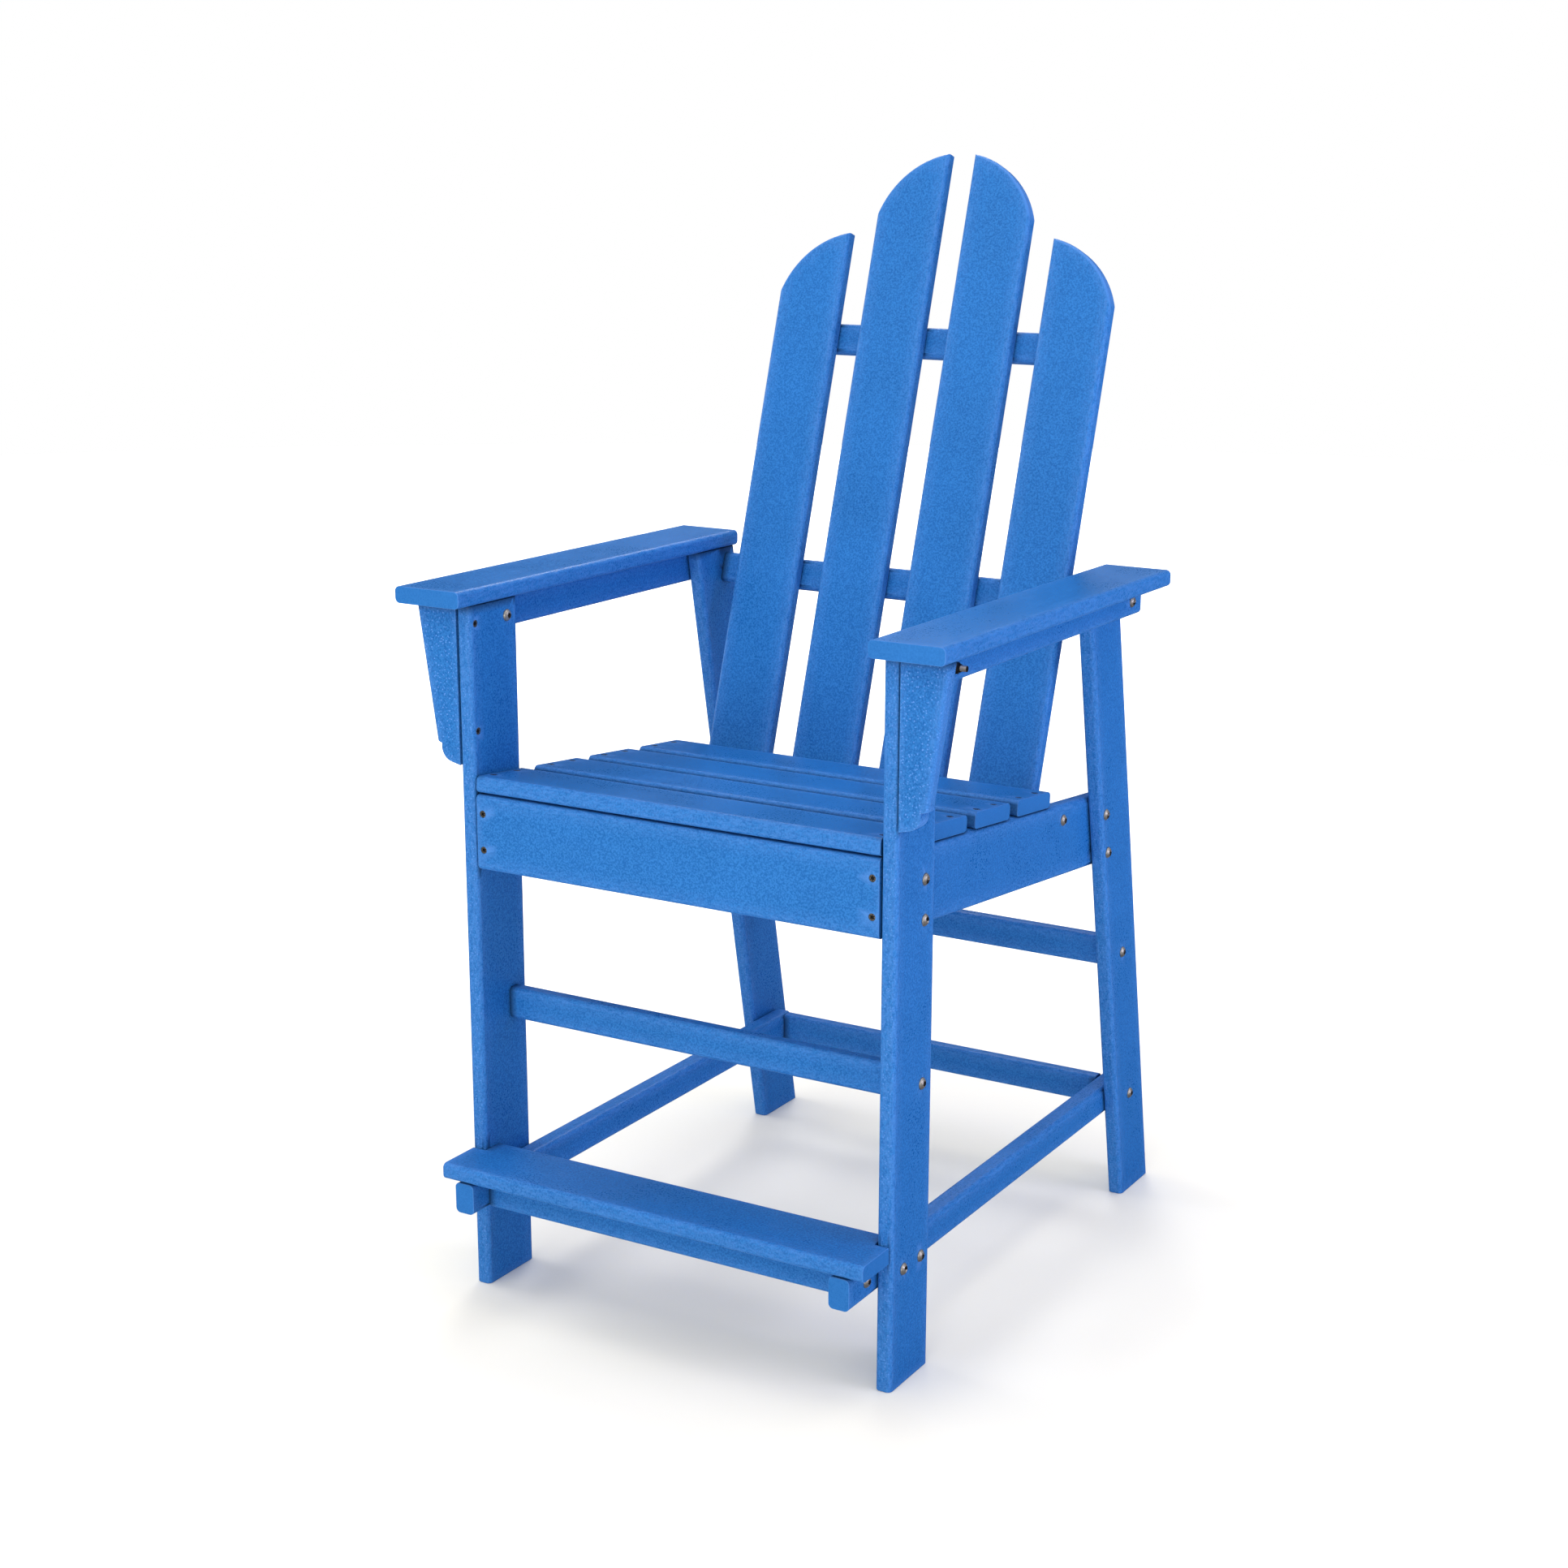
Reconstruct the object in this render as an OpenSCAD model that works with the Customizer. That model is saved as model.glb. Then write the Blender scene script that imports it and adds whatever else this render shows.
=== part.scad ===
// Counter-height armchair built from moulded plastic lumber planks and
// stainless fasteners. Millimetres, +Z up, the chair faces -Y, +X is on the
// right of somebody who looks at its front. The origin is on the floor under
// the middle of the outline. In the modules y is first counted from the front
// face of the front legs (chair frame), then place() moves it to the origin.

/* [Lumber] */
// Thickness of every flat plank
plank_t = 19.5; // [18.5:0.25:20.5]
// Width of the wide planks (seat and back slats)
slat_w = 89; // [84:0.5:94]
// Width of the narrow planks (rails and stretchers)
rail_w = 38; // [35:0.5:40]
// Thickness of the two long side stretchers
stretcher_t = 25.5; // [22:0.5:28]
// Radius along the long edges of the planks
edge_r = 6; // [3:0.5:8]

/* [Frame] */
// Distance between the outer faces of the legs
frame_w = 560; // [540:1:580]
// Front to back width of the front legs
leg_w = 87; // [80:0.5:95]
// Height of the leg tops, which is the underside of the arms
arm_z = 813.5; // [790:0.5:840]
// Lean of the rear legs, horizontal run per unit of height
leg_lean = 0.2; // [0.16:0.01:0.22]
// Level front to back width of the rear legs
rear_leg_w = 86; // [80:0.5:92]

/* [Seat] */
// Height of the seat surface at the front face of the legs
seat_z = 621.5; // [612:0.5:630]
// Fall of the seat towards the back, per unit of run
seat_fall = 0.0936; // [0.08:0.001:0.105]
// Front to back distance from one seat slat to the next
seat_pitch = 108; // [104:0.5:109]

/* [Back] */
// Lean of the back slats, horizontal run per unit of height
back_lean = 0.3135; // [0.28:0.005:0.33]
// Height of the tips of the two middle slats
back_top_z = 1305; // [1270:1:1330]
// Height of the tips of the two outer slats
side_top_z = 1208; // [1180:1:1230]
// Radius of the round outer corner of the back slats
arc_r = 111.5; // [108:0.5:114]

/* [Footrest] */
// Height of the footrest surface
foot_z = 172; // [160:0.5:185]
// Front to back width of the footrest
foot_w = 87.5; // [82:0.5:92]

/* [Hidden] */
$fn = 64;
blue = [0.10, 0.33, 0.72];
steel = [0.62, 0.61, 0.58];

y_shift = -327;
t = plank_t;
xo = frame_w / 2;             // outer face of the legs
xi = xo - t;                  // inner face of the legs
xr = xo + t;                  // outer face of the arm rails
xs = xi - stretcher_t;        // inner face of the side stretchers
xw = xi - t;                  // inner face of the seat side rails

arm_in = 256;                 // inner edge of the arms
arm_out = 344;
arm_y0 = -25.5;
arm_y1 = 551;
arm_rail_h = 39;
arm_rail_y0 = t + 0.5;
arm_rail_y1 = 570;

leg_a = atan(leg_lean);       // lean angle of the rear legs
leg_y0 = 467 + 160;           // front edge of the rear legs on the floor

seat_a = atan(seat_fall);
seat_y0 = 2;                  // front edge of the first seat slat
seat_end = 260;               // half length of the seat slats
seat_end1 = xi - 1;           // half length of the first one, between the legs
rail_depth = 89;              // height of the seat side rails
apron_z0 = 512;
apron_z1 = seat_z - t / cos(seat_a) - seat_fall * t;

back_a = atan(back_lean);
back_y = 472.5 - back_lean * 700;    // slat front plane at floor height
slat_x1 = 17;                 // inner edge of the middle slats
slat_x2 = 140.2;              // inner edge of the outer slats
slat_s0 = 540;                // lower end of the slats, along them
up_s0 = 1117;                 // lower edge of the upper back rail
low_s0 = 815;                 // lower edge of the lower back rail
cleat_s0 = 554.5;             // lower edge of the cleat under the seat
arc_u = -18.4;                // arc centre, outwards from the inner edge
arc_edge_r = 4;               // rounding along the arc

foot_z0 = foot_z - t;         // underside of the footrest
side_z0 = foot_z0 - 37;       // underside of the side stretchers
side_y0 = -58.5;
side_y1 = 652;
foot_y0 = -59;
foot_x = 277.5;               // half length of the footrest
cross_y0 = -29.5;

mid_y0 = 52.5;
mid_z0 = 318;
rear_up_y0 = 589;
rear_up_z0 = 319;
stretcher_h = 38.5;

bolt_r = 3.2;                 // shank of the bolts
bolt_hole_r = 3.4;
screw_r = 2.2;                // shank of the screws
screw_hole_r = 2.35;
seat_screw_u = [20.5, 63.5];  // screws of a seat slat, from its front edge
back_screw_u = [24, 56];      // screws of a back slat, from its inner edge

// Fastener places as [y, z] in the chair frame, both sides of the chair
leg_rail_bolts = [[62.6, 566], [62.6, 521.2]];
leg_mid_bolt = [[mid_y0 + t / 2, mid_z0 + stretcher_h / 2 + 1]];
leg_side_bolts = [[26.3, side_z0 + 21.5], [65.5, side_z0 + 21.5]];
rear_rail_bolts = [[532.5, 531], [542.5, 481]];
rear_up_bolt = [[rear_up_y0 + t / 2, rear_up_z0 + stretcher_h / 2]];
rear_low_bolt = [[side_y1 - t / 2 - 2, side_z0 + 21]];
arm_front_bolt = [[67, 794]];
arm_rear_bolt = [[542, 792.5]];
back_rail_screw = [[524, 785]];
cleat_bolt = [[450.5, 539.8]];
cross_bolt = [[cross_y0 + t / 2, side_z0 + 20.5]];
bracket_screw_at = [[9.5, 793], [9.5, 671]];
apron_screw_at = [578, 536];
arm_screw_y = [130, 290, 430];
foot_screw_y = [-43, 3];
foot_screw_x = [-140, 0, 140];

module place() { translate([0, y_shift, 0]) children(); }

// Section of a plank with rounded long edges, centred
module section(w, h) {
  square([w - 2 * edge_r, h], center = true);
  square([w, h - 2 * edge_r], center = true);
  for (sx = [-1, 1], sy = [-1, 1])
    translate([sx * (w / 2 - edge_r), sy * (h / 2 - edge_r)]) circle(r = edge_r);
}

// Planks given by their low and high corners
module plank_x(a, b)
  translate([a[0], (a[1] + b[1]) / 2, (a[2] + b[2]) / 2]) rotate([90, 0, 90])
    linear_extrude(height = b[0] - a[0]) section(b[1] - a[1], b[2] - a[2]);
module plank_y(a, b)
  translate([(a[0] + b[0]) / 2, b[1], (a[2] + b[2]) / 2]) rotate([90, 0, 0])
    linear_extrude(height = b[1] - a[1]) section(b[0] - a[0], b[2] - a[2]);
module plank_z(a, b)
  translate([(a[0] + b[0]) / 2, (a[1] + b[1]) / 2, a[2]])
    linear_extrude(height = b[2] - a[2]) section(b[0] - a[0], b[1] - a[1]);

// Frames that follow the seat (k-th slat, top front edge) and the back
module seat_frame(k)
  translate([0, seat_y0 + seat_pitch * k, seat_z - seat_fall * (seat_y0 + seat_pitch * k)])
    rotate([-seat_a, 0, 0]) children();
module back_frame() translate([0, back_y, 0]) rotate([-back_a, 0, 0]) children();

// Bores for fasteners along X at [y, z], on both sides when a > 0
module bores_x(at, a, b, r = bolt_hole_r)
  for (p = at) translate([a, p[0], p[1]]) rotate([0, 90, 0]) cylinder(r = r, h = b - a);

// Countersunk screw, tip up, head face at the origin, and its bore
module screw(len) {
  difference() {
    union() {
      cylinder(r1 = 3.9, r2 = screw_r, h = 2.4);
      cylinder(r = screw_r, h = len);
    }
    translate([0, 0, -1]) cylinder(r = 1.7, h = 2.6, $fn = 6);
  }
}
module screw_bore(len) {
  translate([0, 0, -3]) cylinder(r = 4.1, h = 3.005);
  cylinder(r1 = 4.1, r2 = screw_hole_r, h = 2.5);
  cylinder(r = screw_hole_r, h = len + 1.5);
}
// Head sunk this much under the surface
sink = 0.6;

// Button head bolt along +Z, head under the origin plane (z < 0), and its bore
module bolt(len) {
  difference() {
    union() {
      intersection() {
        translate([0, 0, 3.73]) sphere(r = 7.93);
        translate([0, 0, -5]) cylinder(r = 9, h = 5);
      }
      translate([0, 0, -1]) cylinder(r = bolt_r, h = len + 1);
    }
    translate([0, 0, -6]) cylinder(r = 2.9, h = 4.4, $fn = 6);
  }
}
module bolt_bore(len) translate([0, 0, -1]) cylinder(r = bolt_hole_r, h = len + 2.5);

// Both sides of the chair; the child is drawn for +X with s = 1
module side(s) { if (s > 0) children(); else mirror([1, 0, 0]) children(); }

// Places of the fasteners for the +X side, children point inwards (-X)
module from_out(at, x) for (p = at) translate([x, p[0], p[1]]) rotate([0, -90, 0]) children();
module from_in(at, x) for (p = at) translate([x, p[0], p[1]]) rotate([0, 90, 0]) children();

module front_leg(s) place() color(blue) side(s) difference() {
  plank_z([xi, 0, 0], [xo, leg_w, arm_z]);
  from_out(leg_rail_bolts, xo) bolt_bore(37);
  from_out(leg_mid_bolt, xo) bolt_bore(64);
  from_out(leg_side_bolts, xo) bolt_bore(42);
  from_in(arm_front_bolt, xi) bolt_bore(62);
  from_in(bracket_screw_at, xi + sink) screw_bore(48);
}

module rear_leg(s) place() color(blue) side(s) difference() {
  intersection() {
    translate([(xi + xo) / 2, leg_y0 + rear_leg_w / 2, 0]) rotate([leg_a, 0, 0])
      translate([0, 0, -60]) linear_extrude(height = arm_z + 160)
        section(t, rear_leg_w * cos(leg_a));
    translate([xi - 5, 400, 0]) cube([t + 10, 400, arm_z]);
  }
  from_out(rear_rail_bolts, xo) bolt_bore(37);
  from_out(rear_up_bolt, xo) bolt_bore(64);
  from_out(rear_low_bolt, xo) bolt_bore(82);
  from_out(arm_rear_bolt, xr) bolt_bore(37);
  from_out(back_rail_screw, xo - sink) screw_bore(55);
}

module arm(s) place() color(blue) side(s) difference() {
  plank_y([arm_in, arm_y0, arm_z], [arm_out, arm_y1, arm_z + t]);
  for (y = arm_screw_y) translate([(xo + xr) / 2, y, arm_z - arm_rail_h + sink]) screw_bore(52);
}

module arm_rail(s) place() color(blue) side(s) difference() {
  plank_y([xo, arm_rail_y0, arm_z - arm_rail_h], [xr, arm_rail_y1, arm_z]);
  from_in(arm_front_bolt, xi) bolt_bore(62);
  from_out(arm_rear_bolt, xr) bolt_bore(37);
  for (y = arm_screw_y) translate([(xo + xr) / 2, y, arm_z - arm_rail_h + sink]) screw_bore(52);
}

// Tapered bracket under the front of an arm: outline cut from a leaning plank
bracket_top = 56.5;           // width at the top
bracket_low = 29.7;           // width at the bottom, before the round corner
bracket_h = 183;
bracket_z0 = arm_z - bracket_h;
bracket_a = atan((bracket_top - bracket_low) / bracket_h);
bracket_fall = 13;            // the bottom edge rises outwards by this angle
corner_r = 17;                // round lower outer corner
// Corner of the outline and centre of its rounding, from the leg's outer face
corner_x = bracket_low / (1 - tan(bracket_a) * tan(bracket_fall));
corner_z = corner_x * tan(bracket_fall);
corner_half = (90 + bracket_a - bracket_fall) / 2;  // half of the corner's angle
corner_d = corner_r / tan(corner_half);             // from the corner to where the rounding starts
bracket_centre = [-corner_d * cos(bracket_fall) - corner_r * sin(bracket_fall),
                  -corner_d * sin(bracket_fall) + corner_r * cos(bracket_fall)];
module arm_bracket(s) place() color(blue) side(s) difference() {
  intersection() {
    // outline, seen from the front
    translate([0, t, 0]) rotate([90, 0, 0]) linear_extrude(height = t) difference() {
      polygon([[xo, bracket_z0], [xo + corner_x, bracket_z0 + corner_z], [xo + bracket_top, arm_z], [xo, arm_z]]);
      // round the lower outer corner
      translate([xo + corner_x, bracket_z0 + corner_z]) difference() {
        polygon([[1, -1], [-corner_d * cos(bracket_fall) + sin(bracket_fall), -corner_d * sin(bracket_fall) - cos(bracket_fall)],
                 bracket_centre, [corner_d * sin(bracket_a) + cos(bracket_a), corner_d * cos(bracket_a) - sin(bracket_a)]]);
        translate(bracket_centre) circle(r = corner_r);
      }
    }
    // plank with rounded outer edges that leans with the outline
    translate([xo + bracket_low, t / 2, bracket_z0]) rotate([0, bracket_a, 0])
      translate([-60, 0, -40]) linear_extrude(height = 270) section(120, t);
  }
  from_in(bracket_screw_at, xi + sink) screw_bore(48);
}

module front_apron() place() color(blue) difference() {
  plank_x([-seat_end1, 0, apron_z0], [seat_end1, t, apron_z1]);
  for (s = [-1, 1], z = apron_screw_at)
    translate([s * (xi + xw) / 2, sink, z]) rotate([-90, 0, 0]) screw_bore(46);
}

module seat_screw_places(k) for (s = [-1, 1], u = seat_screw_u)
  seat_frame(k) translate([s * (xi + xw) / 2, u, -sink]) rotate([180, 0, 0]) children();

module side_rail(s) place() color(blue) difference() {
  side(s) difference() {
    intersection() {
      seat_frame(0) translate([(xi + xw) / 2, 700, -t - rail_depth / 2]) rotate([90, 0, 0])
        linear_extrude(height = 800) section(t, rail_depth);
      translate([xw - 5, t, 350]) cube([t + 10, 585 - t, 400]);
    }
    from_out(leg_rail_bolts, xo) bolt_bore(37);
    from_out(rear_rail_bolts, xo) bolt_bore(37);
    from_out(cleat_bolt, xi) bolt_bore(58);
    for (z = apron_screw_at)
      translate([(xi + xw) / 2, sink, z]) rotate([-90, 0, 0]) screw_bore(46);
  }
  for (k = [0 : 3]) seat_screw_places(k) screw_bore(48);
}

module seat_slat(k) place() color(blue) difference() {
  seat_frame(k) {
    e = k == 0 ? seat_end1 : seat_end;
    plank_x([-e, 0, -t], [e, slat_w, 0]);
  }
  seat_screw_places(k) screw_bore(48);
}

module back_screw_places() {
  for (x0 = [slat_x1, slat_x2], s = [-1, 1], u = back_screw_u, w = [up_s0, low_s0, cleat_s0])
    back_frame() translate([s * (x0 + u), 2 * t - sink, w + rail_w / 2]) rotate([90, 0, 0]) children();
}

// Disc with a rounded rim, which shapes the top of a back slat
module disc() rotate_extrude($fn = 128) {
  translate([0, -t / 2]) square([arc_r - arc_edge_r, t]);
  translate([0, -t / 2 + arc_edge_r]) square([arc_r, t - 2 * arc_edge_r]);
  for (z = [-1, 1]) translate([arc_r - arc_edge_r, z * (t / 2 - arc_edge_r)]) circle(r = arc_edge_r, $fn = 64);
}

// x0 inner edge, top height of the tip on the front plane
module back_slat(x0, top, s) place() color(blue) difference() {
  back_frame() side(s) {
    len = top / cos(back_a);
    cy = len - sqrt(arc_r * arc_r - arc_u * arc_u);
    intersection() {
      plank_z([x0, 0, slat_s0], [x0 + slat_w, t, len + 10]);
      union() {
        translate([x0 - 5, -5, slat_s0 - 5]) cube([slat_w + 10, t + 10, cy - slat_s0 + 5 + 12]);
        intersection() {
          translate([x0 + arc_u, t / 2, cy]) rotate([90, 0, 0]) disc();
          translate([x0 - 5, -5, cy - 5]) cube([slat_w + 10, t + 10, arc_r + 20]);
        }
      }
    }
  }
  back_screw_places() screw_bore(30);
}

module back_rail(s0, e) difference() {
  back_frame() plank_x([-e, t, s0], [e, 2 * t, s0 + rail_w]);
  back_screw_places() screw_bore(30);
}
module upper_back_rail() place() color(blue) back_rail(up_s0, 209);
module lower_back_rail() place() color(blue) difference() {
  back_rail(low_s0, xi);
  for (s = [-1, 1]) side(s) from_out(back_rail_screw, xo - sink) screw_bore(55);
}
module back_cleat() place() color(blue) difference() {
  back_rail(cleat_s0, xw);
  for (s = [-1, 1]) side(s) from_out(cleat_bolt, xi) bolt_bore(58);
}

module front_mid_stretcher() place() color(blue) difference() {
  plank_x([-xi, mid_y0, mid_z0], [xi, mid_y0 + t, mid_z0 + stretcher_h]);
  for (s = [-1, 1]) side(s) from_out(leg_mid_bolt, xo) bolt_bore(64);
}
module rear_upper_stretcher() place() color(blue) difference() {
  plank_x([-xi, rear_up_y0, rear_up_z0], [xi, rear_up_y0 + t, rear_up_z0 + stretcher_h]);
  for (s = [-1, 1]) side(s) from_out(rear_up_bolt, xo) bolt_bore(64);
}
module rear_lower_stretcher() place() color(blue) difference() {
  plank_x([-xs, side_y1 - t, side_z0], [xs, side_y1, foot_z0]);
  for (s = [-1, 1]) side(s) from_out(rear_low_bolt, xo) bolt_bore(82);
}

module side_stretcher(s) place() color(blue) side(s) difference() {
  plank_y([xs, side_y0, side_z0], [xi, side_y1, foot_z0]);
  from_out(leg_side_bolts, xo) bolt_bore(42);
  from_out(rear_low_bolt, xo) bolt_bore(82);
  from_out(cross_bolt, xi) bolt_bore(62);
  for (y = foot_screw_y) translate([(xs + xi) / 2, y, side_z0 + sink]) screw_bore(50);
}

module footrest() place() color(blue) difference() {
  plank_x([-foot_x, foot_y0, foot_z0], [foot_x, foot_y0 + foot_w, foot_z]);
  for (s = [-1, 1]) side(s) {
    translate([xi - 0.75, -1.5, foot_z0 - 5]) cube([60, 60, t + 10]);
    for (y = foot_screw_y) translate([(xs + xi) / 2, y, side_z0 + sink]) screw_bore(50);
  }
  for (x = foot_screw_x) translate([x, cross_y0 + t / 2, side_z0 + sink]) screw_bore(50);
}
module footrest_cross_rail() place() color(blue) difference() {
  plank_x([-xs, cross_y0, side_z0], [xs, cross_y0 + t, foot_z0]);
  for (s = [-1, 1]) side(s) from_out(cross_bolt, xi) bolt_bore(62);
  for (x = foot_screw_x) translate([x, cross_y0 + t / 2, side_z0 + sink]) screw_bore(50);
}

module front_leg_bolts() place() color(steel) for (s = [-1, 1]) side(s) {
  from_out(leg_rail_bolts, xo) bolt(37);
  from_out(leg_mid_bolt, xo) bolt(64);
  from_out(leg_side_bolts, xo) bolt(42);
}
module rear_leg_bolts() place() color(steel) for (s = [-1, 1]) side(s) {
  from_out(rear_rail_bolts, xo) bolt(37);
  from_out(rear_up_bolt, xo) bolt(64);
  from_out(rear_low_bolt, xo) bolt(82);
}
module arm_rail_front_bolts() place() color(steel) for (s = [-1, 1]) side(s)
  from_in(arm_front_bolt, xi) bolt(2 * t + 22);
// Tall flange nut on the outer face of the arm rail, narrower at its end
module arm_rail_front_nuts() place() color(steel) for (s = [-1, 1]) side(s)
  from_in(arm_front_bolt, xr) difference() {
    union() {
      cylinder(r = 8, h = 1.6);
      translate([0, 0, 1]) cylinder(r = 6.9, h = 8, $fn = 6);
      translate([0, 0, 8.8]) cylinder(r = 6.3, h = 3);
      translate([0, 0, 11.8]) cylinder(r1 = 5.6, r2 = 4.3, h = 3.2);
    }
    translate([0, 0, -1]) cylinder(r = bolt_r + 0.05, h = 18);
  }
module arm_rail_rear_bolts() place() color(steel) for (s = [-1, 1]) side(s)
  from_out(arm_rear_bolt, xr) bolt(37);
module back_cleat_bolts() place() color(steel) for (s = [-1, 1]) side(s)
  from_out(cleat_bolt, xi) bolt(58);
module cross_rail_bolts() place() color(steel) for (s = [-1, 1]) side(s)
  from_out(cross_bolt, xi) bolt(62);

module bracket_screws() place() color(steel) for (s = [-1, 1]) side(s)
  from_in(bracket_screw_at, xi + sink) screw(48);
module apron_screws() place() color(steel)
  for (s = [-1, 1], z = apron_screw_at)
    translate([s * (xi + xw) / 2, sink, z]) rotate([-90, 0, 0]) screw(46);
module seat_screws() place() color(steel) for (k = [0 : 3]) seat_screw_places(k) screw(48);
module back_rail_screws() place() color(steel) back_screw_places() screw(30);
// Under the arm rails, from the rear legs into the ends of the lower back rail
module lower_back_rail_screws() place() color(steel) for (s = [-1, 1]) side(s)
  from_out(back_rail_screw, xo - sink) screw(55);
module arm_screws() place() color(steel) for (s = [-1, 1], y = arm_screw_y)
  side(s) translate([(xo + xr) / 2, y, arm_z - arm_rail_h + sink]) screw(52);
module footrest_screws() place() color(steel) {
  for (s = [-1, 1], y = foot_screw_y)
    side(s) translate([(xs + xi) / 2, y, side_z0 + sink]) screw(50);
  for (x = foot_screw_x) translate([x, cross_y0 + t / 2, side_z0 + sink]) screw(50);
}

front_leg(-1);  // front_leg_left
front_leg(1);  // front_leg_right
rear_leg(-1);  // rear_leg_left
rear_leg(1);  // rear_leg_right
arm(-1);  // arm_left
arm(1);  // arm_right
arm_rail(-1);  // arm_rail_left
arm_rail(1);  // arm_rail_right
arm_bracket(-1);  // arm_bracket_left
arm_bracket(1);  // arm_bracket_right
front_apron();
side_rail(-1);  // side_rail_left
side_rail(1);  // side_rail_right
seat_slat(0);  // seat_slat_1
seat_slat(1);  // seat_slat_2
seat_slat(2);  // seat_slat_3
seat_slat(3);  // seat_slat_4
back_slat(slat_x2, side_top_z, -1);  // back_slat_1
back_slat(slat_x1, back_top_z, -1);  // back_slat_2
back_slat(slat_x1, back_top_z, 1);  // back_slat_3
back_slat(slat_x2, side_top_z, 1);  // back_slat_4
upper_back_rail();
lower_back_rail();
back_cleat();
front_mid_stretcher();
rear_upper_stretcher();
rear_lower_stretcher();
side_stretcher(-1);  // side_stretcher_left
side_stretcher(1);  // side_stretcher_right
footrest();
footrest_cross_rail();
front_leg_bolts();
rear_leg_bolts();
arm_rail_front_bolts();
arm_rail_front_nuts();
arm_rail_rear_bolts();
back_cleat_bolts();
cross_rail_bolts();
bracket_screws();
apron_screws();
seat_screws();
back_rail_screws();
arm_screws();
footrest_screws();
lower_back_rail_screws();
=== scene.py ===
"""Counter-height chair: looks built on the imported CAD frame. Metres, +Z up, the chair faces -Y."""
import math
import random

import bmesh
import bpy
from mathutils import Matrix, Vector, noise
from mathutils.bvhtree import BVHTree


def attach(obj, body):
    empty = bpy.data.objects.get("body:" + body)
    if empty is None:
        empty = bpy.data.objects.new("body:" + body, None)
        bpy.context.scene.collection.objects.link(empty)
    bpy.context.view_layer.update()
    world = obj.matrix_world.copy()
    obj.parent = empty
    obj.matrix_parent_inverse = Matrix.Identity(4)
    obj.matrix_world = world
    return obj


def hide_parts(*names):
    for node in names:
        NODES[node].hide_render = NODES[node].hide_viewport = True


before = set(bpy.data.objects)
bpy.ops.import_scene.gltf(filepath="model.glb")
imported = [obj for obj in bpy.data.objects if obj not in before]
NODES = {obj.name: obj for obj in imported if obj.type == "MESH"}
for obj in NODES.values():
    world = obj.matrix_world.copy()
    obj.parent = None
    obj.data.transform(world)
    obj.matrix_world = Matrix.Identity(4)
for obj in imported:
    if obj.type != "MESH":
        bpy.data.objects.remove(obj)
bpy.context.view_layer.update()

STEEL = [n for n in sorted(NODES) if n.endswith(("_bolts", "_nuts", "_screws"))]
LUMBER = [n for n in sorted(NODES) if n not in STEEL]
MM = 0.001


# ---------------------------------------------------------------- node helpers
class Graph:
    """Short calls for a shader node tree: a value is a socket or a constant."""

    def __init__(self, material):
        material.use_nodes = True
        self.tree = material.node_tree
        self.tree.nodes.clear()

    def node(self, kind, sockets=None, **props):
        made = self.tree.nodes.new(kind)
        for k, v in props.items():
            setattr(made, k, v)
        for k, v in (sockets or {}).items():
            self.put(made.inputs[k], v)
        return made

    def put(self, dark_end_and_socket_shade, value):
        if isinstance(value, bpy.types.NodeSocket):
            self.tree.links.new(value, dark_end_and_socket_shade)
        else:
            dark_end_and_socket_shade.default_value = value

    def math(self, op, a, b=0.0, clamp=False):
        made = self.node("ShaderNodeMath", operation=op, use_clamp=clamp)
        self.put(made.inputs[0], a)
        self.put(made.inputs[1], b)
        return made.outputs[0]

    def vec(self, op, a, b):
        made = self.node("ShaderNodeVectorMath", operation=op)
        self.put(made.inputs[0], a)
        self.put(made.inputs[1], b)
        return made.outputs[0]

    def turned(self, at, angles):
        """Noise looks alike on every flat face when its own grid isn't parallel to them."""
        made = self.node("ShaderNodeMapping", vector_type="POINT")
        self.put(made.inputs["Vector"], at)
        made.inputs["Rotation"].default_value = angles
        return made.outputs[0]

    def ramp(self, value, lo, hi, to_lo=0.0, to_hi=1.0, smooth=True):
        made = self.node("ShaderNodeMapRange", interpolation_type="SMOOTHSTEP" if smooth else "LINEAR")
        for k, v in zip(("Value", "From Min", "From Max", "To Min", "To Max"), (value, lo, hi, to_lo, to_hi)):
            self.put(made.inputs[k], v)
        return made.outputs[0]

    def noise(self, at, scale, detail=2.0, rough=0.5, distortion=0.0, lac=2.0):
        return self.node("ShaderNodeTexNoise", {"Vector": at, "Scale": scale, "Detail": detail, "Roughness": rough,
                                                "Lacunarity": lac, "Distortion": distortion}).outputs["Fac"]

    def voronoi(self, at, scale, feature="SMOOTH_F1", smooth=0.6, rand=1.0):
        made = self.node("ShaderNodeTexVoronoi", feature=feature)
        made.inputs["Vector"].default_value = (0, 0, 0)
        self.put(made.inputs["Vector"], at)
        self.put(made.inputs["Scale"], scale)
        self.put(made.inputs["Randomness"], rand)
        if feature == "SMOOTH_F1":
            self.put(made.inputs["Smoothness"], smooth)
        return made.outputs["Distance"]

    def mix(self, fac, a, b, blend="MIX"):
        made = self.node("ShaderNodeMix", data_type="RGBA", blend_type=blend)
        self.put(made.inputs["Factor"], fac)
        self.put(made.inputs["A"], a)
        self.put(made.inputs["B"], b)
        return made.outputs["Result"]


# ------------------------------------------------------------------- materials
BLUE = (0.0145, 0.1400, 0.4650)


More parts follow.
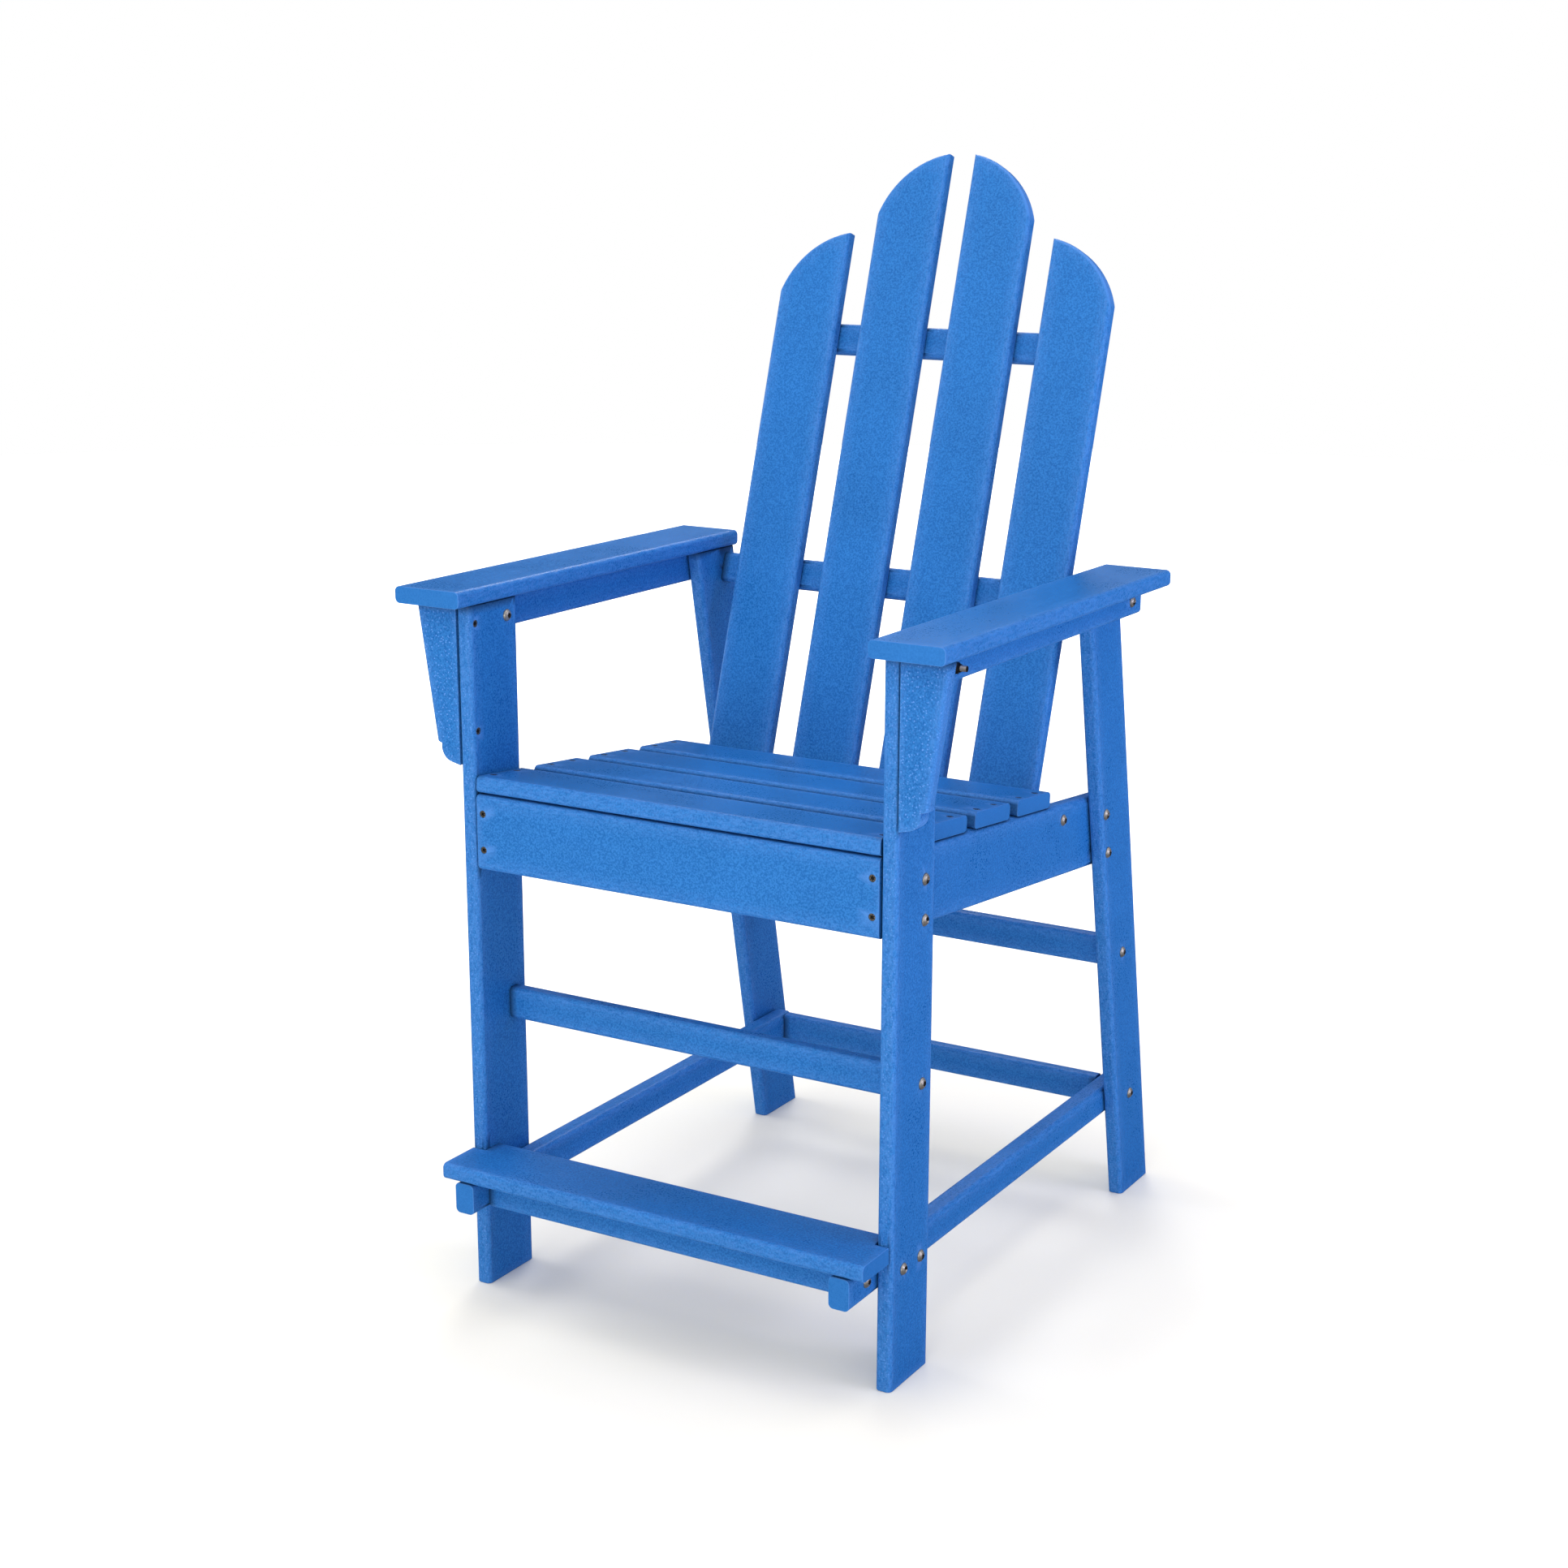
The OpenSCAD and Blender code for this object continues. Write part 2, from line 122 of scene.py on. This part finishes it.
def lumber_material(name):
    """Moulded plastic lumber. Point attributes: board = place along, across and through the plank in
    metres, edge = nearness to a rounded edge, pebble = how coarse the moulded skin is, cut = sawn end,
    and the last = painted shade on rounded edges that touch another plank and in the seat plank gaps."""
    m = bpy.data.materials.new(name)
    g = Graph(m)

    def attribute(which, out):
        return g.node("ShaderNodeAttribute", attribute_type="GEOMETRY", attribute_name=which).outputs[out]

    p = attribute("board", "Vector")
    edge = attribute("edge", "Fac")
    pebble = attribute("pebble", "Fac")
    gap_shade = attribute("gap_shade", "Fac")
    cut = attribute("cut", "Fac")
    skin = g.math("SUBTRACT", 1.0, g.math("MULTIPLY", cut, 0.7))
    # painted highlight: a thin light line along the bevels of the sawn ends
    end_highlight = g.math("MULTIPLY", g.math("MULTIPLY", cut, 4.0), g.math("SUBTRACT", 1.0, cut))
    drawn = g.turned(g.vec("MULTIPLY", p, (0.30, 1.0, 1.0)), (0.62, 0.0, 0.0))
    drawn_far = g.turned(g.vec("MULTIPLY", p, (0.035, 1.0, 1.0)), (0.62, 0.0, 0.0))
    free = g.turned(p, (0.62, 0.41, 0.27))

    grain = g.noise(free, 480.0, 2.0, 0.55)
    grit = g.noise(free, 1350.0, 0.0, 0.5)
    cells = g.voronoi(free, 270.0, "F1")
    lump = g.noise(free, 230.0, 1.0, 0.5)
    wrinkle = g.noise(drawn, 330.0, 3.0, 0.6, 0.4)
    streak = g.noise(drawn_far, 160.0, 3.0, 0.6)
    cloud = g.noise(free, 11.0, 3.0, 0.55)
    nick = g.noise(drawn, 120.0, 2.0, 0.5, 0.4)

    # relief in metres
    parts = [g.math("MULTIPLY", g.math("MULTIPLY", grain, 0.00024), skin), g.math("MULTIPLY", grit, 0.00007),
             g.math("MULTIPLY", g.math("MULTIPLY", cells, -0.00055), pebble),
             g.math("MULTIPLY", g.math("MULTIPLY", lump, 0.00020), pebble),
             g.math("MULTIPLY", g.math("MULTIPLY", wrinkle, 0.00075), edge),
             g.math("MULTIPLY", streak, 0.00005)]
    height = parts[0]
    for part in parts[1:]:
        height = g.math("ADD", height, part)
    bump = g.node("ShaderNodeBump", {"Height": height, "Strength": 1.0, "Distance": 1.0}).outputs[0]

    def tint(k, lift=0.0):
        return tuple(min(1.0, c * k + lift) for c in BLUE) + (1.0,)

    c = g.mix(g.ramp(cloud, 0.30, 0.70), tint(0.96), tint(1.04))
    c = g.mix(g.ramp(streak, 0.50, 0.75, 0.0, 0.10), c, tint(1.2, 0.012))
    dark = g.mix(1.0, c, (0.72, 0.79, 0.84, 1.0), "MULTIPLY")
    pale = g.mix(1.0, c, (0.010, 0.034, 0.060, 1.0), "ADD")
    speck = g.math("SUBTRACT", g.ramp(grain, 0.36, 0.64), 0.5)
    c = g.mix(g.math("ADD", g.math("MULTIPLY", speck, skin), 0.5), dark, pale)
    # partly wear, partly painted highlight: rounded edges are painted paler along their wrinkles, and the sawn-end
    # bevels get the painted highlight line
    edge_wear_and_highlight = g.math("MULTIPLY", g.ramp(wrinkle, 0.38, 0.62, 0.10, 0.46), edge)
    c = g.mix(g.math("MAXIMUM", edge_wear_and_highlight, g.math("MULTIPLY", end_highlight, 0.85)), c, tint(1.22, 0.055))
    nicked = g.math("MULTIPLY", g.ramp(nick, 0.60, 0.72, 0.0, 0.16), edge)
    c = g.mix(nicked, c, tint(0.80))
    # painted highlight: bright glints painted at the cell centres of the pebbled skin
    glint = g.math("MULTIPLY", g.ramp(cells, 0.10, 0.34, 0.85, 0.0), pebble)
    c = g.mix(glint, c, tint(1.35, 0.085))
    # painted shade: the joints between planks and the seat gaps are painted near-black
    c = g.mix(g.math("MULTIPLY", gap_shade, 0.88), c, tint(0.10))

    rough = g.math("ADD", g.ramp(grain, 0.3, 0.7, 0.27, 0.37), g.ramp(cloud, 0.3, 0.7, -0.02, 0.04))
    bsdf = g.node("ShaderNodeBsdfPrincipled", {"Base Color": c, "Roughness": rough, "Normal": bump,
                                               "Specular IOR Level": 0.12, "Metallic": 0.0})
    g.node("ShaderNodeOutputMaterial", {"Surface": bsdf.outputs[0]})
    return m


def steel_material(name, light, dark, gloss):
    """Stainless fasteners: brushed, a little tarnished, with small scratches."""
    m = bpy.data.materials.new(name)
    g = Graph(m)
    coord = g.node("ShaderNodeTexCoord").outputs["Object"]
    tarnish = g.noise(coord, 420.0, 3.0, 0.6)
    scratch = g.noise(g.vec("MULTIPLY", coord, (1.0, 1.0, 7.0)), 900.0, 2.0, 0.6)
    spots = g.voronoi(coord, 900.0, "F1")
    c = g.mix(g.ramp(tarnish, 0.35, 0.7), light, dark)
    c = g.mix(g.ramp(spots, 0.0, 0.2, 0.35, 0.0), c, tuple(v * 0.5 for v in dark[:3]) + (1.0,))
    rough = g.math("ADD", g.ramp(scratch, 0.3, 0.75, gloss, gloss + 0.16), g.ramp(tarnish, 0.4, 0.8, 0.0, 0.12))
    height = g.math("ADD", g.math("MULTIPLY", scratch, 0.00003), g.math("MULTIPLY", spots, 0.00002))
    bump = g.node("ShaderNodeBump", {"Height": height, "Strength": 1.0, "Distance": 1.0}).outputs[0]
    bsdf = g.node("ShaderNodeBsdfPrincipled", {"Base Color": c, "Roughness": rough, "Normal": bump, "Metallic": 0.8})
    g.node("ShaderNodeOutputMaterial", {"Surface": bsdf.outputs[0]})
    return m


MAT = {
    "blue": lumber_material("blue_lumber"),
    "steel": steel_material("stainless_brushed", (0.50, 0.465, 0.42, 1), (0.34, 0.315, 0.285, 1), 0.36),
    "screw": steel_material("stainless_screw", (0.24, 0.22, 0.20, 1), (0.12, 0.11, 0.10, 1), 0.36),
    "nut": steel_material("stainless_dark", (0.060, 0.056, 0.052, 1), (0.025, 0.023, 0.022, 1), 0.20),
    # painted shade: near-black colour for the drive sockets of bolt and screw heads; the same dark colour goes on the
    # end of the front arm bolts past the nut
    "dark_end_and_socket_shade": steel_material("stainless_dark_end_and_socket_shade", (0.035, 0.032, 0.030, 1), (0.018, 0.016, 0.015, 1), 0.55),
}
# How coarse the skin is, which also sets where bright glints are painted as highlights: on the whole plank, and on its
# narrow faces
HEADS = {"arm_rail_front_nuts": "nut"}
HEADS.update({n: "screw" for n in STEEL if n.endswith("_screws")})
SKIN = {"arm_bracket_left": (1.0, 0.6), "arm_bracket_right": (1.0, 0.6), "front_leg_left": (0.0, 0.75),
        "front_leg_right": (0.0, 0.75), "rear_leg_left": (0.0, 0.6), "rear_leg_right": (0.0, 0.6)}


# ---------------------------------------------------------------------- meshes
def clean(bm):
    bmesh.ops.remove_doubles(bm, verts=bm.verts[:], dist=2e-6)
    bmesh.ops.dissolve_limit(bm, angle_limit=math.radians(0.4), use_dissolve_boundaries=False,
                             verts=bm.verts[:], edges=bm.edges[:], delimit=set())


def plank_axes(bm):
    """Thickness from the largest flat faces, length from the longest edge across it."""
    areas = {}
    for f in bm.faces:
        n = f.normal
        if n.z < -1e-6 or (abs(n.z) <= 1e-6 and (n.y < -1e-6 or (abs(n.y) <= 1e-6 and n.x < 0))):
            n = -n
        key = tuple(round(c, 3) for c in n)
        areas[key] = areas.get(key, 0.0) + f.calc_area()
    t = Vector(max(sorted(areas), key=lambda k: areas[k])).normalized()
    best, l = 0.0, None
    for e in bm.edges:
        d = e.verts[1].co - e.verts[0].co
        if d.length > best + 1e-5 and abs(d.normalized().dot(t)) < 1e-3:
            best, l = d.length, d.normalized()
    l = (l - t * l.dot(t)).normalized()
    for c in l:
        if abs(c) > 1e-4:
            l = l if c > 0 else -l
            break
    return l, t.cross(l).normalized(), t


def sharp_groups(bm, limit):
    """Chains of sharp edges: small ones are rims of holes."""
    sharp = {e for e in bm.edges if len(e.link_faces) == 2 and e.calc_face_angle(0) > limit}
    groups = []
    left = set(sharp)
    while left:
        first = min(left, key=lambda e: e.index)
        stack, group = [first], []
        left.discard(first)
        while stack:
            e = stack.pop()
            group.append(e)
            for v in e.verts:
                for o in v.link_edges:
                    if o in left:
                        left.discard(o)
                        stack.append(o)
        co = [v.co for e in group for v in e.verts]
        size = max(max(c[i] for c in co) - min(c[i] for c in co) for i in range(3))
        groups.append((size, group))
    return groups


def bevel(bm, edges, width, segments):
    if edges:
        bmesh.ops.bevel(bm, geom=edges, offset=width, offset_type="OFFSET", segments=segments, profile=0.5,
                        affect="EDGES", clamp_overlap=True, loop_slide=True)


def cuts(bm, centre, axis, half, inset, pitch):
    """Cross lines every pitch or less between -half + inset and half - inset."""
    span = 2 * (half - inset)
    n = max(1, math.ceil(span / pitch))
    for i in range(n + 1):
        d = -half + inset + span * i / n
        bmesh.ops.bisect_plane(bm, geom=bm.verts[:] + bm.edges[:] + bm.faces[:], dist=1e-6,
                               plane_co=centre + axis * d, plane_no=axis)


TREES = {}
for node_name in LUMBER:
    data = NODES[node_name].data
    points = [v.co.copy() for v in data.vertices]
    TREES[node_name] = (BVHTree.FromPolygons(points, [list(q.vertices) for q in data.polygons]),
                        [min(c[i] for c in points) for i in range(3)], [max(c[i] for c in points) for i in range(3)])


def neighbours(name, reach):
    """Planks whose boxes come within reach of this one."""
    _, lo, hi = TREES[name]
    return [tree for other, (tree, a, b) in sorted(TREES.items()) if other != name
            and all(a[i] <= hi[i] + reach and b[i] >= lo[i] - reach for i in range(3))]


def build_lumber(name):
    src = NODES[name]
    bm = bmesh.new()
    bm.from_mesh(src.data)
    clean(bm)
    l, w, t = plank_axes(bm)
    co = [v.co.copy() for v in bm.verts]
    ext = [(min(c.dot(a) for c in co), max(c.dot(a) for c in co)) for a in (l, w, t)]
    centre = sum(((lo + hi) / 2 * a for (lo, hi), a in zip(ext, (l, w, t))), Vector())
    half = [(hi - lo) / 2 for lo, hi in ext]

    groups = sharp_groups(bm, math.radians(32))
    bm.edges.index_update()
    rims = [e for size, g in groups if size < 0.016 for e in g]
    ends = [e for size, g in groups if size >= 0.016 for e in g]
    bevel(bm, ends, 0.9 * MM, 3)
    groups = sharp_groups(bm, math.radians(40))
    bevel(bm, [e for size, g in groups if size < 0.016 for e in g], 0.3 * MM, 1)

    cuts(bm, centre, l, half[0], 11 * MM, 18 * MM)
    cuts(bm, centre, w, half[1], 9 * MM, 12 * MM)
    bm.normal_update()
    bm.faces.ensure_lookup_table()

    # distance of each point to the rounded or bevelled outline, for the finish
    verts = [v.co.copy() for v in bm.verts]
    bm.verts.index_update()
    turned = [[v.index for v in f.verts] for f in bm.faces
              if max(abs(f.normal.dot(a)) for a in (l, w, t)) < 0.995 and f.calc_center_median is not None]
    tree = BVHTree.FromPolygons(verts, turned) if turned else None
    layer = bm.verts.layers.float.new("edge")
    pebble = bm.verts.layers.float.new("pebble")
    board = bm.verts.layers.float_vector.new("board")
    cut = bm.verts.layers.float.new("cut")
    gap_shade = bm.verts.layers.float.new("gap_shade")
    near = neighbours(name, 4 * MM)
    near_seat = [TREES[n][0] for n in LUMBER if n.startswith("seat_") and n != name]
    wide, slim = SKIN.get(name, (0.0, 0.15))
    rnd = random.Random(name)
    shift = Vector([rnd.uniform(0.0, 9.0) for _ in range(3)])
    for v in bm.verts:
        d = tree.find_nearest(v.co)[3] if tree else 1.0
        endwise = min(1.0, abs(v.normal.dot(l)))
        turned_by = max(0.0, 1.0 - (d or 0.0) / (8 * MM))
        v[layer] = turned_by * (1.0 - endwise)
        v[cut] = endwise
        # painted shade: rounded edges that touch another plank are painted dark along the joint
        if turned_by > 0.9:
            gap = min([n.find_nearest(v.co, 4 * MM)[3] or 4 * MM for n in near], default=4 * MM)
            v[gap_shade] = min(1.0, max(0.0, (3.0 * MM - gap) / (2.2 * MM)))
        if name.startswith("seat_"):
            # painted shade: the narrow gaps between the seat planks are painted dark below their rounded tops
            across = abs(v.normal.y) * min(1.0, max(0.0, 1.5 - 2.0 * v.normal.z))
            gap = min([n.find_nearest(v.co, 26 * MM)[3] or 26 * MM for n in near_seat], default=26 * MM)
            v[gap_shade] = max(v[gap_shade], 0.65 * across * min(1.0, max(0.0, (24.0 * MM - gap) / (2 * MM))))
        side_on = min(1.0, max(0.0, abs(v.normal.dot(w)) * 1.6 - 0.6))
        v[pebble] = wide + (slim - wide) * side_on
        q = v.co - centre
        v[board] = Vector((q.dot(l), q.dot(w), q.dot(t))) + shift

    # the moulded faces aren't quite flat: they sink by up to a quarter of a millimetre
    seed = Vector((sum(ord(c) * (i + 3) for i, c in enumerate(name)) % 97, len(name), 3.7))
    moves = []
    for v in bm.verts:
        q = Vector((v.co.dot(l) * 14, v.co.dot(w) * 26, v.co.dot(t) * 26)) + seed
        a = 0.5 + 0.5 * noise.noise(q)
        moves.append(-v.normal * (0.05 + 0.16 * a) * MM)
    for v, d in zip(bm.verts, moves):
        v.co += d

    for f in bm.faces:
        f.smooth = True
    me = bpy.data.meshes.new(name + "_board")
    bm.to_mesh(me)
    bm.free()
    o = bpy.data.objects.new(name + "_board", me)
    bpy.context.scene.collection.objects.link(o)
    me.materials.append(MAT["blue"])
    wn = o.modifiers.new("normals", "WEIGHTED_NORMAL")
    wn.keep_sharp = False
    wn.weight = 70
    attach(o, "root")
    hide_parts(name)
    return o


for node_name in LUMBER:
    build_lumber(node_name)

def build_steel(name):
    """Fasteners with painted shade in their drive sockets, darker than the heads."""
    bm = bmesh.new()
    bm.from_mesh(NODES[name].data)
    bmesh.ops.remove_doubles(bm, verts=bm.verts[:], dist=2e-6)
    left = set(bm.faces)
    socket_shade_r = 3.0 * MM if name.endswith("_bolts") else 2.75 * MM
    while left:
        stack = [min(left, key=lambda f: f.index)]
        part = set(stack)
        while stack:
            for e in stack.pop().edges:
                for f in e.link_faces:
                    if f not in part:
                        part.add(f)
                        stack.append(f)
        left -= part
        if name.endswith("_nuts"):
            continue
        shank_end = name == "arm_rail_front_bolts"
        verts = sorted({v for f in part for v in f.verts}, key=lambda v: v.index)
        # the axis runs between the middles of the two ends
        far = max(verts, key=lambda v: (v.co - verts[0].co).length)
        near = max(verts, key=lambda v: (v.co - far.co).length)
        d = (near.co - far.co).normalized()
        ends = []
        for sign in (1, -1):
            top = max(v.co.dot(d) * sign for v in verts)
            ring = [v.co for v in verts if top - v.co.dot(d) * sign < 1.2 * MM]
            ends.append(sum(ring, Vector()) / len(ring))
        axis = (ends[0] - ends[1]).normalized()
        mid = (ends[0] + ends[1]) / 2

        def radius(co):
            q = co - mid
            return (q - axis * q.dot(axis)).length
        span = [(v.co - mid).dot(axis) for v in verts]
        lo, hi = min(span), max(span)
        wide_hi = max(radius(v.co) for v in verts if (v.co - mid).dot(axis) > hi - 6 * MM)
        wide_lo = max(radius(v.co) for v in verts if (v.co - mid).dot(axis) < lo + 6 * MM)
        # painted shade: faces in and around the drive socket take the near-black colour
        for f in part:
            c = f.calc_center_median()
            h = (c - mid).dot(axis)
            depth = hi - h if wide_hi > wide_lo else h - lo
            if depth < 5 * MM and radius(c) < socket_shade_r or shank_end and depth > 50 * MM:
                f.material_index = 1
    for f in bm.faces:
        f.smooth = True
    me = bpy.data.meshes.new(name + "_steel")
    bm.to_mesh(me)
    bm.free()
    me.set_sharp_from_angle(angle=math.radians(34))
    me.materials.append(MAT[HEADS.get(name, "steel")])
    me.materials.append(MAT["dark_end_and_socket_shade"])
    o = bpy.data.objects.new(name + "_steel", me)
    bpy.context.scene.collection.objects.link(o)
    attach(o, "root")
    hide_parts(name)
    return o


for node_name in STEEL:
    build_steel(node_name)


# ----------------------------------------------------------------------- stage
def stage_plane():
    bm = bmesh.new()
    r, n = 9.0, 48
    ring0 = [bm.verts.new((r * math.cos(2 * math.pi * i / n), r * math.sin(2 * math.pi * i / n), 0)) for i in range(n)]
    bm.faces.new(ring0)
    me = bpy.data.meshes.new("studio_floor")
    bm.to_mesh(me)
    bm.free()
    o = bpy.data.objects.new("studio_floor", me)
    bpy.context.scene.collection.objects.link(o)
    m = bpy.data.materials.new("studio_white")
    g = Graph(m)
    bsdf = g.node("ShaderNodeBsdfPrincipled", {"Base Color": (0.918, 0.893, 0.842, 1), "Roughness": 0.9,
                                               "Specular IOR Level": 0.1})
    # painted light: the floor glows, more strongly away from the chair, so it turns white there and stays darker near
    # the chair
    away = g.node("ShaderNodeVectorMath", operation="LENGTH")
    g.put(away.inputs[0], g.node("ShaderNodeTexCoord").outputs["Object"])
    glow = g.node("ShaderNodeEmission", {"Color": (1, 1, 1, 1),
                                         "Strength": g.math("ADD", g.ramp(away.outputs["Value"], 0.35, 1.5, 0.0, 0.36),
                                                            g.ramp(away.outputs["Value"], 1.8, 5.0, 0.0, 0.70))})
    both = g.node("ShaderNodeAddShader")
    g.put(both.inputs[0], bsdf.outputs[0])
    g.put(both.inputs[1], glow.outputs[0])
    # from below the floor is clear, so the underside of the chair can be looked at
    sides = g.node("ShaderNodeMixShader", {"Fac": g.node("ShaderNodeNewGeometry").outputs["Backfacing"]})
    g.put(sides.inputs[1], both.outputs[0])
    g.put(sides.inputs[2], g.node("ShaderNodeBsdfTransparent").outputs[0])
    g.node("ShaderNodeOutputMaterial", {"Surface": sides.outputs[0]})
    me.materials.append(m)
    o.visible_glossy = False
    return o


stage_plane()


def backdrop():
    """White sweep far behind everything. Only the camera sees it: the lamps and the room light the chair."""
    bm = bmesh.new()
    bmesh.ops.create_uvsphere(bm, u_segments=48, v_segments=24, radius=24.0)
    bmesh.ops.reverse_faces(bm, faces=bm.faces[:])
    for f in bm.faces:
        f.smooth = True
    me = bpy.data.meshes.new("studio_backdrop")
    bm.to_mesh(me)
    bm.free()
    o = bpy.data.objects.new("studio_backdrop", me)
    bpy.context.scene.collection.objects.link(o)
    m = bpy.data.materials.new("studio_backdrop_white")
    g = Graph(m)
    glow = g.node("ShaderNodeEmission", {"Color": (1, 1, 1, 1), "Strength": 1.0})
    g.node("ShaderNodeOutputMaterial", {"Surface": glow.outputs[0]})
    me.materials.append(m)
    for kind in ("diffuse", "glossy", "transmission", "volume_scatter", "shadow"):
        setattr(o, "visible_" + kind, False)


backdrop()


def studio_world():
    """Soft room, bright above and, a little warmer, in front."""
    world = bpy.data.worlds.new("studio")
    g = Graph(world)
    where = g.node("ShaderNodeTexCoord").outputs["Generated"]
    total = g.node("ShaderNodeBackground", {"Color": (1, 1, 1, 1), "Strength": 0.01}).outputs[0]
    for axis, power, strength, tone in (((0.2, -1.0, 0.2), 4.0, 1.07, (1.0, 0.985, 0.883, 1)),
                                        ((0.0, 0.0, 1.0), 2.0, 1.27, (1.0, 1.0, 0.975, 1))):
        facing = g.node("ShaderNodeVectorMath", operation="DOT_PRODUCT")
        g.put(facing.inputs[0], where)
        g.put(facing.inputs[1], Vector(axis).normalized())
        lobe = g.math("POWER", g.math("MAXIMUM", facing.outputs["Value"], 0.0), power)
        both = g.node("ShaderNodeAddShader")
        g.put(both.inputs[0], total)
        glow = g.node("ShaderNodeBackground", {"Color": tone, "Strength": g.math("MULTIPLY", lobe, strength)})
        g.put(both.inputs[1], glow.outputs[0])
        total = both.outputs[0]
    g.node("ShaderNodeOutputWorld", {"Surface": total})
    bpy.context.scene.world = world


studio_world()
LOOK = Vector((0.0, 0.0, 0.62))


def area(name, where, size, watts, tone=(1.0, 1.0, 1.0), at=LOOK):
    data = bpy.data.lights.new(name, "AREA")
    data.shape = "RECTANGLE"
    data.size, data.size_y = size
    data.energy = watts
    data.color = tone
    o = bpy.data.objects.new(name, data)
    bpy.context.scene.collection.objects.link(o)
    o.location = where
    o.rotation_mode = "QUATERNION"
    o.rotation_quaternion = (Vector(at) - Vector(where)).to_track_quat("-Z", "Y")
    return o


area("front_left_high", (-1.8, -2.8, 3.3), (1.3, 1.3), 9.4, (1.0, 0.995, 0.95))
area("front_low", (0.6, -4.0, 0.6), (2.4, 0.9), 32.0, (1.0, 0.995, 0.88))
area("front_high", (0.2, -3.0, 3.3), (2.0, 1.8), 24.0, (1.0, 0.99, 0.92))
area("right", (4.0, 0.2, 1.6), (2.0, 2.4), 70.0, (0.75, 0.755, 1.0))
area("left", (-4.0, -0.2, 1.8), (2.0, 2.4), 59.0)
area("top", (0.0, 0.4, 3.8), (2.8, 2.8), 25.7, (1.0, 1.0, 0.983))
area("back_high", (-1.3, 2.6, 3.0), (1.2, 1.2), 31.0, (1.0, 1.0, 0.97))


# ---------------------------------------------------------------------- camera
def camera():
    c = Vector((1.440291, -2.487135, 1.290570))
    target = Vector((0.976883, -1.644522, 1.038203))
    focal, px, py, roll = 3065.406, 1077.216, 1006.760, -0.0114780765
    z = (target - c).normalized()
    x = z.cross(Vector((0, 0, 1))).normalized()
    y = z.cross(x)
    x2 = x * math.cos(roll) + y * math.sin(roll)
    y2 = -x * math.sin(roll) + y * math.cos(roll)
    data = bpy.data.cameras.new("camera")
    data.sensor_fit = "AUTO"
    data.sensor_width = 36.0
    data.lens = 36.0 * focal / 1932.0
    data.shift_x = (966.0 - px) / 1932.0
    data.shift_y = (py - 966.0) / 1932.0
    data.clip_start, data.clip_end = 0.05, 60.0
    o = bpy.data.objects.new("camera", data)
    m = Matrix((x2, -y2, -z)).transposed().to_4x4()
    m.translation = c
    o.matrix_world = m
    bpy.context.scene.collection.objects.link(o)
    bpy.context.scene.camera = o
    return o


camera()
bpy.context.scene.view_settings.view_transform = "Standard"
bpy.context.scene.view_settings.look = "None"
